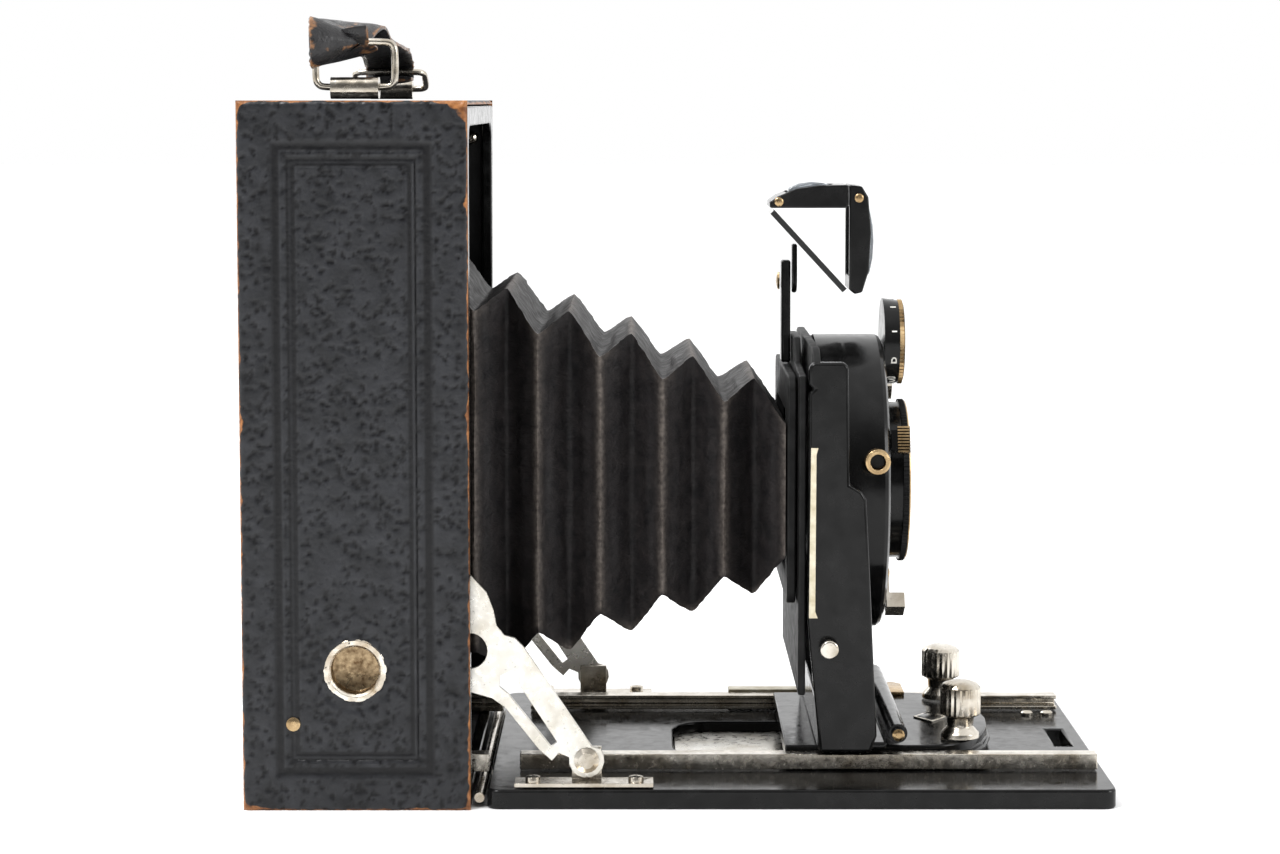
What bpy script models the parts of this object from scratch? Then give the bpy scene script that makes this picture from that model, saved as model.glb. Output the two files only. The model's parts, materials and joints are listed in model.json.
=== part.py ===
"""Folding plate camera, standing on its short end with the bed open.

Lengths below are in millimetres and are turned into metres when a mesh is made.
+X points out of the lens, +Z up, and the origin is under the middle of the box.
"""

from math import cos, pi, radians, sin

import bmesh
import bpy
from mathutils import Vector

MM = 0.001
GAP = 0.3

# Case
REAR_X = -87.8
FRONT_X = -42.2
HALF_WIDTH = 51.0
HEIGHT = 142.0
LEATHER = 0.8
BOARD = 2.4
RIM_DEPTH = 2.2
SKIN_Y = HALF_WIDTH - LEATHER
BOARD_Y = SKIN_Y - GAP
INNER_Y = BOARD_Y - BOARD
FLOOR_Z = 3.5
CEILING_Z = HEIGHT - LEATHER - GAP - BOARD
BUSH_X = -65.2
BUSH_Z = 28.4
BUSH_R = 6.6
BUSH_BORE_R = 4.8

# Bed and rails
BED_FRONT = 87.8
BED_REAR = -39.0
BED_HALF = 50.0
BED_TOP = 4.0
RAIL_IN = 28.7
RAIL_OUT = 32.7
RAIL_TOP = 7.5
GROOVE = (5.1, 6.7)
STRUT_PIVOT = (-19.0, 9.1)
STRUT_Y = 45.6
STRUT_THICK = 1.0

# Carriage and front standard
CARRIAGE = (22.0, 67.4)
CARRIAGE_TOP = 8.4
KNOB_X = 59.1
KNOB_Y = 21.0
ARM_IN = 33.9
ARM_OUT = 36.5
LENS_Z = 60.5

# Bellows
PLEATS = 8
BELLOWS_X = (-80.1, 21.9)
FOLD = 6.5
REAR_HALF = (44.0, 54.0)
FRONT_HALF = (27.0, 20.5)
REAR_Z = 66.5
FRONT_Z = 61.5

# Shutter
SHUTTER_X = (29.0, 43.4)
SHUTTER_R = 31.5
DIAL_Z = 90.4
DIAL_R = 9.4
RING_R = 17.2

# Finder
FINDER_HALF = 7.0
SWIVEL_Z = 103.5

# Handle
RING_X = (-73.4, -56.0)
RING_Y = 44.5
RING_Z = 144.6
RING_HEIGHT = 9.0
WIRE_R = 0.8
FAR_RING_LEAN = radians(65)

MATERIALS = {
    "leather": ((0.018, 0.018, 0.019), 0.0, 0.55),
    "bellows": ((0.022, 0.020, 0.019), 0.0, 0.65),
    "strap": ((0.030, 0.024, 0.020), 0.0, 0.40),
    "lacquer": ((0.010, 0.010, 0.011), 0.0, 0.22),
    "nickel": ((0.72, 0.68, 0.60), 1.0, 0.25),
    "brass": ((0.62, 0.44, 0.20), 1.0, 0.30),
    "ivory": ((0.78, 0.74, 0.62), 0.0, 0.45),
    "glass": ((0.85, 0.90, 0.92), 0.0, 0.05),
    "mirror": ((0.88, 0.88, 0.88), 1.0, 0.05),
}


def make_materials():
    made = {}
    for name, (colour, metallic, roughness) in MATERIALS.items():
        material = bpy.data.materials.new(name)
        material.use_nodes = True
        shader = material.node_tree.nodes["Principled BSDF"]
        shader.inputs["Base Color"].default_value = (*colour, 1.0)
        shader.inputs["Metallic"].default_value = metallic
        shader.inputs["Roughness"].default_value = roughness
        made[name] = material
    return made


def solid(name, material, bm, pivot=(0.0, 0.0, 0.0), smooth=False):
    """Turns a mesh in millimetres into an object whose origin is at pivot."""
    bmesh.ops.recalc_face_normals(bm, faces=bm.faces)
    bmesh.ops.translate(bm, verts=bm.verts, vec=-Vector(pivot))
    bmesh.ops.scale(bm, verts=bm.verts, vec=(MM, MM, MM))
    mesh = bpy.data.meshes.new(name)
    bm.to_mesh(mesh)
    bm.free()
    mesh.materials.append(material)
    if smooth:
        mesh.shade_smooth()
        mesh.set_sharp_from_angle(angle=radians(35))
    made = bpy.data.objects.new(name, mesh)
    made.location = Vector(pivot) * MM
    bpy.context.scene.collection.objects.link(made)
    return made


def place(axis, along, u, v):
    """A point from its distance along an axis and its two other coordinates."""
    return {"X": (along, u, v), "Y": (u, along, v), "Z": (u, v, along)}[axis]


def add_prism(bm, axis, outline, low, high):
    """Adds an outline in the plane across axis, extruded from low to high."""
    ends = [[bm.verts.new(place(axis, end, u, v)) for u, v in outline] for end in (low, high)]
    count = len(outline)
    bm.faces.new(ends[0])
    bm.faces.new(ends[1])
    for i in range(count):
        j = (i + 1) % count
        bm.faces.new((ends[0][i], ends[0][j], ends[1][j], ends[1][i]))


def add_turned(bm, axis, centre, profile, sides, closed=False):
    """Adds a profile of (distance along axis, radius) turned about the axis through centre."""
    rings = []
    for along, radius in profile:
        if radius <= 0:
            rings.append([bm.verts.new(place(axis, along, *centre))])
            continue
        turn = [2 * pi * i / sides for i in range(sides)]
        spots = [(centre[0] + radius * cos(a), centre[1] + radius * sin(a)) for a in turn]
        rings.append([bm.verts.new(place(axis, along, *spot)) for spot in spots])
    pairs = list(zip(rings, rings[1:]))
    if closed:
        pairs.append((rings[-1], rings[0]))
    for one, two in pairs:
        for i in range(sides):
            j = (i + 1) % sides
            corners = [one[i % len(one)], one[j % len(one)], two[j % len(two)], two[i % len(two)]]
            bm.faces.new(list(dict.fromkeys(corners)))


def rect(u0, u1, v0, v1):
    return [(u0, v0), (u1, v0), (u1, v1), (u0, v1)]


def arc(centre, radius, start, end, steps):
    """Points along an arc, with angles in degrees."""
    angles = [radians(start + (end - start) * i / steps) for i in range(steps + 1)]
    return [(centre[0] + radius * cos(a), centre[1] + radius * sin(a)) for a in angles]


def rounded(u0, u1, v0, v1, radius, steps=5):
    """A rectangle with round corners."""
    return (
        arc((u1 - radius, v1 - radius), radius, 0, 90, steps)
        + arc((u0 + radius, v1 - radius), radius, 90, 180, steps)
        + arc((u0 + radius, v0 + radius), radius, 180, 270, steps)
        + arc((u1 - radius, v0 + radius), radius, 270, 360, steps)
    )


def prism(name, material, axis, outline, low, high, pivot=(0, 0, 0), smooth=False):
    bm = bmesh.new()
    add_prism(bm, axis, outline, low, high)
    return solid(name, material, bm, pivot, smooth)


def turned(name, material, axis, centre, profile, sides=32, closed=False, pivot=(0, 0, 0)):
    bm = bmesh.new()
    add_turned(bm, axis, centre, profile, sides, closed)
    return solid(name, material, bm, pivot, smooth=True)


def combine(target, other, operation):
    """Cuts other from target or joins it on; other stays as a hidden helper."""
    other.hide_render = True
    other.display_type = "WIRE"
    modifier = target.modifiers.new(other.name, "BOOLEAN")
    modifier.operation = operation
    modifier.object = other


def cut_prism(target, label, axis, outline, low, high):
    helper = prism(target.name + "_" + label, target.data.materials[0], axis, outline, low, high)
    combine(target, helper, "DIFFERENCE")


def join_prism(target, label, axis, outline, low, high):
    helper = prism(target.name + "_" + label, target.data.materials[0], axis, outline, low, high)
    combine(target, helper, "UNION")


def circle(centre, radius, sides=24):
    return arc(centre, radius, 0, 360 - 360 / sides, sides - 1)


def make_case(look):
    """The boards, their leather, the metal rim at the front and the tripod bush."""
    board_front = FRONT_X - RIM_DEPTH - GAP
    for side, name in ((-1, "near"), (1, "far")):
        skin_ends = sorted((side * SKIN_Y, side * HALF_WIDTH))
        board_ends = sorted((side * INNER_Y, side * BOARD_Y))
        skin = prism(f"leather_side_{name}", look["leather"], "Y",
                     rect(REAR_X, FRONT_X, 0, HEIGHT), *skin_ends)
        board = prism(f"case_side_{name}", look["lacquer"], "Y",
                      rect(REAR_X, board_front, LEATHER + GAP, CEILING_Z + BOARD), *board_ends)
        if side < 0:
            hole = circle((BUSH_X, BUSH_Z), BUSH_R + GAP)
            cut_prism(skin, "bush_hole", "Y", hole, -HALF_WIDTH - 1, -SKIN_Y + 1)
            cut_prism(board, "bush_hole", "Y", hole, -BOARD_Y - 1, -INNER_Y + 1)
    half = INNER_Y - GAP
    prism("leather_top", look["leather"], "Z",
          rect(REAR_X, FRONT_X, -BOARD_Y, BOARD_Y), HEIGHT - LEATHER, HEIGHT)
    prism("case_top", look["lacquer"], "Z",
          rect(REAR_X, board_front, -half, half), CEILING_Z, CEILING_Z + BOARD)
    prism("case_bottom", look["leather"], "Z",
          rect(REAR_X, board_front, -half, half), 0, FLOOR_Z)
    rim = prism("front_rim", look["lacquer"], "X",
                rect(-BOARD_Y, BOARD_Y, 0, CEILING_Z + BOARD), FRONT_X - RIM_DEPTH, FRONT_X)
    cut_prism(rim, "mouth", "X", rounded(-46, 46, 3.6, 136.9, 5), FRONT_X - 5, FRONT_X + 5)
    floor_y = -INNER_Y + 1.6
    lip_y = -HALF_WIDTH
    turned("tripod_bush", look["nickel"], "Y", (BUSH_X, BUSH_Z), [
        (lip_y + 5, 0), (lip_y + 4.2, BUSH_BORE_R - 0.8), (lip_y + 4, BUSH_BORE_R),
        (lip_y + 0.5, BUSH_BORE_R), (lip_y, BUSH_BORE_R + 0.5), (lip_y, BUSH_R - 0.4),
        (lip_y + 0.4, BUSH_R), (floor_y, BUSH_R), (floor_y, 0)], sides=40)


def make_back(look):
    """The plate back: its frame, the focusing screen and the hinged hood lid."""
    half = INNER_Y - GAP
    back_low = FLOOR_Z + GAP
    back_high = CEILING_Z - GAP
    frame = prism("back_frame", look["lacquer"], "X",
                  rect(-half, half, back_low, back_high), REAR_X + 0.3, REAR_X + 3.1)
    cut_prism(frame, "window", "X", rect(-40.2, 40.2, 14, 128), REAR_X - 1, REAR_X + 5)
    prism("ground_glass", look["glass"], "X", rect(-43, 43, 11, 131), REAR_X + 3.4, REAR_X + 4.9)
    rear = prism("bellows_rear_frame", look["lacquer"], "X",
                 rect(-half, half, back_low, back_high), REAR_X + 5.2, REAR_X + 7.4)
    cut_prism(rear, "window", "X", rect(-36, 36, 21, 112), REAR_X + 4, REAR_X + 9)
    axis = (REAR_X + 0.8, 15.2)
    edge = arc(axis, 0.6, 180, 360, 6)
    lid = edge + [(axis[0] + 0.6, 127.4), (axis[0] - 0.6, 127.4)]
    prism("hood_lid", look["leather"], "Y", lid, -39.6, 39.6, pivot=(axis[0], 0, axis[1]))


def bellows_section(step, inset):
    """The four corners of the pleated tube at a fold line, from the rear."""
    share = step / (2 * PLEATS)
    x = BELLOWS_X[0] + (BELLOWS_X[1] - BELLOWS_X[0]) * share
    half_y = REAR_HALF[0] + (FRONT_HALF[0] - REAR_HALF[0]) * share
    half_z = REAR_HALF[1] + (FRONT_HALF[1] - REAR_HALF[1]) * share
    middle = REAR_Z + (FRONT_Z - REAR_Z) * share
    if step % 2:
        half_y -= FOLD
    else:
        half_z -= FOLD
    half_y -= inset
    half_z -= inset
    spots = ((-1, -1), (1, -1), (1, 1), (-1, 1))
    return [(x, half_y * a, middle + half_z * b) for a, b in spots]


def make_bellows(look):
    """A tapering square tube; its top folds stand out where its side folds go in."""
    bm = bmesh.new()
    layers = []
    for inset in (0.0, 1.0):
        steps = range(2 * PLEATS + 1)
        layers.append([[bm.verts.new(p) for p in bellows_section(k, inset)] for k in steps])
    outer, inner = layers
    loops = outer + inner[::-1] + [outer[0]]
    for one, two in zip(loops, loops[1:]):
        for i in range(4):
            j = (i + 1) % 4
            bm.faces.new((one[i], one[j], two[j], two[i]))
    solid("bellows", look["bellows"], bm)


def add_wire_ring(bm, middle_y, lean):
    """A rectangle of round wire standing on its hinge bar and leaning about it."""
    centre = (RING_X[0] + RING_X[1]) / 2
    half = (RING_X[1] - RING_X[0]) / 2 - WIRE_R
    path = rounded(-half, half, 0, RING_HEIGHT, 1.8, 3)
    count = len(path)
    loops = []
    for i, (u, v) in enumerate(path):
        before, after = path[i - 1], path[(i + 1) % count]
        tangent = Vector((after[0] - before[0], after[1] - before[1])).normalized()
        out = Vector((tangent[1], -tangent[0]))
        loop = []
        for k in range(8):
            a = 2 * pi * k / 8
            x = centre + u + out[0] * WIRE_R * cos(a)
            up = v + out[1] * WIRE_R * cos(a)
            side = WIRE_R * sin(a)
            y = middle_y + side * cos(lean) - up * sin(lean)
            z = RING_Z + up * cos(lean) + side * sin(lean)
            loop.append(bm.verts.new((x, y, z)))
        loops.append(loop)
    for i in range(count):
        one, two = loops[i], loops[(i + 1) % count]
        for k in range(8):
            m = (k + 1) % 8
            bm.faces.new((one[k], one[m], two[m], two[k]))


def make_handle(look):
    """Two clips, each holding a wire ring, and the strap between the rings."""
    for side, label in ((-1, "near"), (1, "far")):
        clip = prism(f"handle_clip_{label}", look["nickel"], "X",
                     rounded(side * RING_Y - 2.6, side * RING_Y + 2.6, HEIGHT + GAP, RING_Z + 2.0,
                             1.6, 3), -69.5, -60.0)
        cut_prism(clip, "bore", "X", circle((side * RING_Y, RING_Z), WIRE_R + GAP, 16), -80, -50)
    for side, label, lean in ((-1, "near", 0.0), (1, "far", FAR_RING_LEAN)):
        bm = bmesh.new()
        add_wire_ring(bm, side * RING_Y, lean)
        solid(f"handle_ring_{label}", look["nickel"], bm,
              pivot=(sum(RING_X) / 2, side * RING_Y, RING_Z), smooth=True)
    top = [(-46.5, 157.0), (-36, 156.6), (-18, 153.6), (6, 152.2), (24, 152.4), (38.5, 151.8)]
    under = [(y, z - 2.4) for y, z in reversed(top)]
    prism("strap", look["strap"], "X", top + under, -70.2, -59.2, smooth=True)


def make_bed(look):
    """The drop bed, its hinge pin, the rails and the small fittings fixed to it."""
    panel = prism("bed_panel", look["lacquer"], "Z",
                  rounded(BED_REAR, BED_FRONT, -BED_HALF, BED_HALF, 2.5), 0, BED_TOP)
    cut_prism(panel, "window", "Z", rounded(-1, 30, -17, 17, 8), 1.2, BED_TOP + 1)
    cut_prism(panel, "latch_slot", "Z", rect(81.0, 84.6, -9, 9), -1, BED_TOP + 1)
    turned("bed_hinge_pin", look["nickel"], "Y", (BED_REAR - 1.6, 2.0),
           [(-48, 0), (-48, 1.1), (48, 1.1), (48, 0)], sides=16)
    for side, name in ((-1, "near"), (1, "far")):
        section = rail_section(side, BED_TOP + GAP)
        prism(f"rail_{name}", look["nickel"], "X", section, -33.0, 86.3)
        section = rail_section(side, FLOOR_Z + GAP)
        prism(f"case_rail_{name}", look["nickel"], "X", section, -78.0, BED_REAR - GAP)
    prism("focus_scale", look["ivory"], "X", rect(33.3, 37.3, BED_TOP + GAP, 8.0), 12.0, 28.0)


def rail_section(side, low):
    """A channel that opens towards the middle of the bed."""
    points = [(RAIL_IN, low), (RAIL_OUT, low), (RAIL_OUT, RAIL_TOP), (RAIL_IN, RAIL_TOP),
              (RAIL_IN, GROOVE[1]), (RAIL_OUT - 0.8, GROOVE[1]), (RAIL_OUT - 0.8, GROOVE[0]),
              (RAIL_IN, GROOVE[0])]
    return [(side * y, z) for y, z in points]


def strut_outline():
    """A strut seen from the side: a wide head in the case and a bar down to its pivot."""
    px, pz = STRUT_PIVOT
    head = [(-42.5, 47.1), (-39.1, 43.4), (-37.7, 39.8), (-37.1, 36.6), (-35.5, 34.7),
            (-33.4, 34.1), (-31.8, 32.5), (-17.9, 11.9)]
    foot = arc((px, pz), 3.6, 40, -190, 10)
    rear = [(-24.6, 10.6), (-26.0, 9.0), (-28.6, 11.3), (-35.5, 20.0), (-38.1, 21.8),
            (-42.3, 23.0), (-50.0, 25.0), (-54.5, 31.0), (-54.5, 40.0), (-50.0, 46.0)]
    return head + foot + rear


def make_struts(look):
    """Struts lock the bed to the case; each turns on a rivet in a bracket on the bed."""
    for side, name in ((-1, "near"), (1, "far")):
        ends = sorted((side * STRUT_Y, side * (STRUT_Y - STRUT_THICK)))
        strut = prism(f"strut_{name}", look["nickel"], "Y", strut_outline(), *ends)
        cut_prism(strut, "eye", "Y", circle((-42.6, 31.5), 3.6), ends[0] - 1, ends[1] + 1)
        cut_prism(strut, "slot", "Y",
                  [(-34.0, 27.6), (-36.4, 26.4), (-36.6, 24.2), (-34.8, 22.8), (-26.2, 12.0),
                   (-25.0, 12.9), (-32.6, 24.6), (-32.6, 26.8)], ends[0] - 1, ends[1] + 1)
        cut_prism(strut, "rivet_hole", "Y", circle(STRUT_PIVOT, 1.5, 16), ends[0] - 1, ends[1] + 1)
        make_bracket(look, side, name)


def join_turned(target, label, axis, centre, profile, sides=16):
    helper = turned(target.name + "_" + label, target.data.materials[0], axis, centre, profile,
                    sides)
    combine(target, helper, "UNION")


def make_bracket(look, side, name):
    """An angle plate with two studs that hold it to the bed and a rivet for the strut."""
    inside = STRUT_Y - STRUT_THICK - GAP
    plate_top = BED_TOP + 1.1
    section = [(inside - 1.2, BED_TOP + GAP), (BED_HALF - 1.0, BED_TOP + GAP),
               (BED_HALF - 1.0, plate_top), (inside, plate_top), (inside, 11.6),
               (inside - 1.2, 11.6)]
    plate = [(side * y, z) for y, z in section]
    bracket = prism(f"strut_bracket_{name}", look["nickel"], "X", plate, -33.5, -5.5)
    for end, spot in (("rear", (-36, -22.0)), ("front", (-16.0, 0))):
        wall = sorted((side * (inside - 2), side * (inside + 1)))
        cut_prism(bracket, end + "_step", "Y", rect(*spot, plate_top, 20), *wall)
    head_y = STRUT_Y + GAP
    rivet = [(inside - 0.4, 0), (inside - 0.4, 1.2), (head_y, 1.2), (head_y, 2.6),
             (head_y + 0.6, 1.6), (head_y + 0.7, 0)]
    join_turned(bracket, "rivet", "Y", STRUT_PIVOT, [(side * y, r) for y, r in rivet])
    for end, x in (("rear", -29.8), ("front", -9.0)):
        stud = [(plate_top - 0.4, 0), (plate_top - 0.4, 1.6), (plate_top + 1.0, 1.5),
                (plate_top + 1.3, 0)]
        join_turned(bracket, end + "_stud", "Z", (x, side * 46.8), stud)


def make_knob(look, side, name):
    """A finger knob with a ribbed head, pinched towards its twin to free the carriage."""
    bm = bmesh.new()
    ribs = 22
    sides = 2 * ribs
    base = CARRIAGE_TOP + GAP
    shape = [(base, 0, 0), (base, 4.1, 0), (base + 1.0, 4.0, 0), (base + 2.4, 2.7, 0),
             (base + 4.3, 2.9, 0), (base + 5.0, 4.0, 0.25), (base + 10.6, 4.05, 0.25),
             (base + 11.4, 3.6, 0), (base + 11.9, 2.2, 0), (base + 12.0, 0, 0)]
    rings = []
    for z, radius, rib in shape:
        if radius == 0:
            rings.append([bm.verts.new((KNOB_X, side * KNOB_Y, z))])
            continue
        ring = []
        for i in range(sides):
            a = 2 * pi * i / sides
            r = radius + (rib if i % 2 else 0)
            ring.append(bm.verts.new((KNOB_X + r * cos(a), side * KNOB_Y + r * sin(a), z)))
        rings.append(ring)
    for one, two in zip(rings, rings[1:]):
        for i in range(sides):
            j = (i + 1) % sides
            corners = [one[i % len(one)], one[j % len(one)], two[j % len(two)], two[i % len(two)]]
            bm.faces.new(list(dict.fromkeys(corners)))
    solid(f"pinch_knob_{name}", look["nickel"], bm, pivot=(KNOB_X, side * KNOB_Y, base))


def make_carriage(look):
    """The sliding carriage, with a tongue in each rail and a raised middle."""
    rear, front = CARRIAGE
    nose = arc((front - 14, 0), 14, -90, 90, 10)
    tongue = prism("carriage", look["lacquer"], "Z",
                   [(rear, -31.2), (front - 16, -31.2)] + [(x, y * 31.2 / 14) for x, y in nose]
                   + [(front - 16, 31.2), (rear, 31.2)], GROOVE[0] + 0.3, GROOVE[1] - 0.3)
    join_prism(tongue, "platform", "Z",
               [(rear, -28.2), (front - 18, -28.2)] + [(x - 0.6, y * 2.0) for x, y in nose]
               + [(front - 18, 28.2), (rear, 28.2)], GROOVE[1] - 0.6, CARRIAGE_TOP)
    for side, name in ((-1, "near"), (1, "far")):
        make_knob(look, side, name)


def make_standard(look):
    """The front standard: foot, clamp bar, two arms and the plate behind the lens board."""
    low = CARRIAGE_TOP + GAP
    inside = ARM_IN - GAP
    prism("standard_foot", look["lacquer"], "Y",
          [(28.4, low), (42.6, low), (42.6, low + 1.5), (30.2, low + 1.5), (30.2, 17.5),
           (28.4, 17.5)], -inside, inside)
    turned("foot_clamp_bar", look["brass"], "Y", (45.0, 11.9),
           [(-34.6, 0), (-34.6, 1.1), (-33.0, 1.1), (-33.0, 2.0), (33.0, 2.0), (33.0, 1.1),
            (34.6, 1.1), (34.6, 0)], sides=20)
    for side, name in ((-1, "near"), (1, "far")):
        ends = sorted((side * ARM_IN, side * ARM_OUT))
        prism(f"standard_arm_{name}", look["lacquer"], "Y",
              [(28.6, low), (39.2, low), (40.4, 12.0), (38.0, 61.0), (37.0, 62.6), (34.6, 64.0),
               (34.2, 88.0), (33.4, 89.0), (26.9, 89.0), (26.1, 88.0), (26.1, 84.4), (27.2, 83.6),
               (26.1, 82.6), (26.1, 36.0)], *ends)
    plate = prism("standard_plate", look["lacquer"], "X",
                  [(-inside, 20), (inside, 20), (inside, 86), (12, 87), (9, 92), (-9, 92),
                   (-12, 87), (-inside, 86)], 24.3, 25.8)
    cut_prism(plate, "opening", "X", rect(-20, 20, 43, 79), 20, 30)
    frame = prism("bellows_front_frame", look["lacquer"], "X",
                  rounded(-29, 29, 38, 85.5, 3, 3), 22.2, 24.0)
    cut_prism(frame, "opening", "X", rect(-19, 19, 43.6, 77.4), 20, 30)
    screw_y = -ARM_OUT - GAP
    turned("rise_lock_screw", look["nickel"], "Y", (30.4, 30.5),
           [(screw_y, 0), (screw_y, 1.3), (screw_y - 0.8, 1.3), (screw_y - 0.8, 1.9),
            (screw_y - 2.6, 1.9), (screw_y - 2.8, 1.6), (screw_y - 2.8, 0)],
           sides=20, pivot=(30.4, screw_y, 30.5))


def lever_outline(angle, spread, inner, outer):
    """A flat sector of the shutter's face; angle is from the top towards the near side."""
    spots = [(inner, angle - spread), (inner, angle + spread), (outer, angle + spread),
             (outer, angle - spread)]
    return [(-r * sin(radians(a)), LENS_Z + r * cos(radians(a))) for r, a in spots]


def make_lens(look):
    """The lens board, the shutter with its controls, and the two lens cells."""
    inside = ARM_IN - GAP
    board = prism("lens_board", look["lacquer"], "X",
                  rounded(-inside, inside, 27, 91.5, 6, 4), 27.0, 28.7)
    cut_prism(board, "bore", "X", circle((0, LENS_Z), 12.3, 32), 20, 35)
    rear, front = SHUTTER_X
    turned("shutter_case", look["lacquer"], "X", (0, LENS_Z),
           [(rear, 15.3), (rear, SHUTTER_R), (front - 1.2, SHUTTER_R), (front - 0.5, 31.1),
            (front, 30.2), (front, 15.3)], sides=64, closed=True)
    face = front + GAP
    turned("front_cell", look["lacquer"], "X", (0, LENS_Z),
           [(39.2, 11.8), (39.2, 14.9), (face, 14.9), (face, RING_R - 0.4), (face + 3.6, RING_R - 0.4),
            (face + 3.6, RING_R), (face + 4.9, RING_R), (face + 5.1, RING_R - 0.5),
            (face + 4.2, 13.2), (face + 3.6, 11.8)], sides=64, closed=True)
    turned("front_lens", look["glass"], "X", (0, LENS_Z),
           [(41.0, 0), (41.0, 11.4), (45.0, 11.4), (46.2, 7.6), (46.7, 0)], sides=40)
    turned("rear_cell", look["lacquer"], "X", (0, LENS_Z),
           [(18.5, 10.5), (18.5, 12.0), (28.7, 12.0), (28.7, 10.5)], sides=40, closed=True)
    turned("rear_lens", look["glass"], "X", (0, LENS_Z),
           [(18.8, 0), (19.6, 6.0), (20.8, 10.2), (22.8, 10.2), (22.8, 0)], sides=32)
    turned("iris", look["lacquer"], "X", (0, LENS_Z),
           [(36.0, 5.0), (36.0, 15.0), (36.6, 15.0), (36.6, 5.0)], sides=32, closed=True)
    turned("speed_dial", look["lacquer"], "X", (0, DIAL_Z),
           [(face, 0), (face, DIAL_R), (face + 3.3, DIAL_R - 0.5), (face + 3.3, 8.6),
            (face + 4.4, 8.5), (face + 4.5, 0)], sides=40, pivot=(face, 0, DIAL_Z))
    levers = (("aperture_lever", 66, 3.0, 18.0, 27.6, "lacquer"),
              ("cocking_lever", -50, 3.0, 18.0, 29.0, "nickel"),
              ("release_lever", 150, 3.5, 18.0, 29.5, "nickel"))
    for name, angle, spread, inner, outer, material in levers:
        lever = prism(name, look[material], "X", lever_outline(angle, spread, inner, outer),
                      face, face + 0.9, pivot=(face, 0, LENS_Z))
        join_prism(lever, "tab", "X", lever_outline(angle, spread + 1.5, outer - 2.6, outer + 0.8),
                   face + 0.1, face + 4.0)
    socket_y = -SHUTTER_R + 0.1
    turned("cable_socket", look["brass"], "Y", (40.3, 68.6),
           [(socket_y, 0), (socket_y, 2.2), (socket_y - 2.0, 2.2), (socket_y - 2.0, 2.6),
            (socket_y - 4.6, 2.6), (socket_y - 4.8, 2.2), (socket_y - 4.8, 1.6),
            (socket_y - 1.2, 1.5), (socket_y - 0.8, 0)], sides=24)


def make_finder(look):
    """The reflecting finder: two small lenses and a slanting mirror on a swivelling arm."""
    half = FINDER_HALF
    prism("finder_post", look["lacquer"], "X",
          [(-3.4, 86.2), (3.4, 86.2), (3.0, 92.0), (2.4, 108.0), (-2.4, 108.0), (-3.0, 92.0)],
          22.0, 24.0)
    pivot = (24.3, 0, SWIVEL_Z)
    prism("finder_arm", look["lacquer"], "X",
          arc((0, SWIVEL_Z), 2.6, 180, 360, 8) + [(2.0, 111.4), (-2.0, 111.4)], 24.3, 25.4,
          pivot=pivot)
    front = prism("finder_front_frame", look["lacquer"], "Y",
                  [(36.2, 102.0), (37.4, 101.0), (39.0, 101.4), (40.4, 106.0), (40.8, 114.0),
                   (40.2, 121.6), (38.8, 123.9), (36.2, 124.2)], -half, half, pivot=pivot)
    cut_prism(front, "opening", "X", rect(-5.4, 5.4, 104.7, 119.5), 30, 45)
    top = prism("finder_top_frame", look["lacquer"], "Y",
                [(19.3, 119.3), (35.9, 119.3), (35.9, 124.2), (30.0, 124.1), (25.0, 123.4),
                 (21.0, 121.8), (19.3, 120.6)], -half, half, pivot=pivot)
    cut_prism(top, "opening", "Z", rect(23.0, 33.0, -5.4, 5.4), 110, 130)
    rear_top = Vector((20.3, 118.9))
    low_front = Vector((35.7, 102.2))
    along = (low_front - rear_top).normalized()
    below = Vector((along[1], -along[0])) * 1.2
    prism("finder_mirror", look["mirror"], "Y",
          [tuple(rear_top), tuple(low_front), tuple(low_front + below), tuple(rear_top + below)],
          -half, half, pivot=pivot)
    lens_front = [(37.0, 105.0), (40.6, 105.0), (41.3, 108.5), (41.5, 112.0), (41.3, 115.5),
                  (40.6, 119.2), (37.0, 119.2)]
    prism("finder_front_lens", look["glass"], "Y", lens_front, -5.1, 5.1, pivot=pivot)
    lens_top = [(23.3, 120.0), (32.7, 120.0), (32.7, 123.9), (30.6, 124.6), (28.0, 124.8),
                (25.4, 124.4), (23.3, 123.4)]
    prism("finder_top_lens", look["glass"], "Y", lens_top, -5.1, 5.1, pivot=pivot)
    turned("finder_pivot", look["brass"], "X", (0, SWIVEL_Z),
           [(21.7, 0), (21.7, 2.0), (21.2, 1.7), (20.9, 0)], sides=16, pivot=pivot)


def main():
    for item in list(bpy.data.objects):
        bpy.data.objects.remove(item)
    look = make_materials()
    make_case(look)
    make_back(look)
    make_bellows(look)
    make_handle(look)
    make_bed(look)
    make_struts(look)
    make_carriage(look)
    make_standard(look)
    make_lens(look)
    make_finder(look)


main()
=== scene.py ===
"""Looks for the folding plate camera: leather, bellows, strap, trim, materials, floor, light and camera."""

import json
from math import asin, cos, exp, hypot, pi, radians, sin

import bmesh
import bpy
from mathutils import Matrix, Vector, noise


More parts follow.
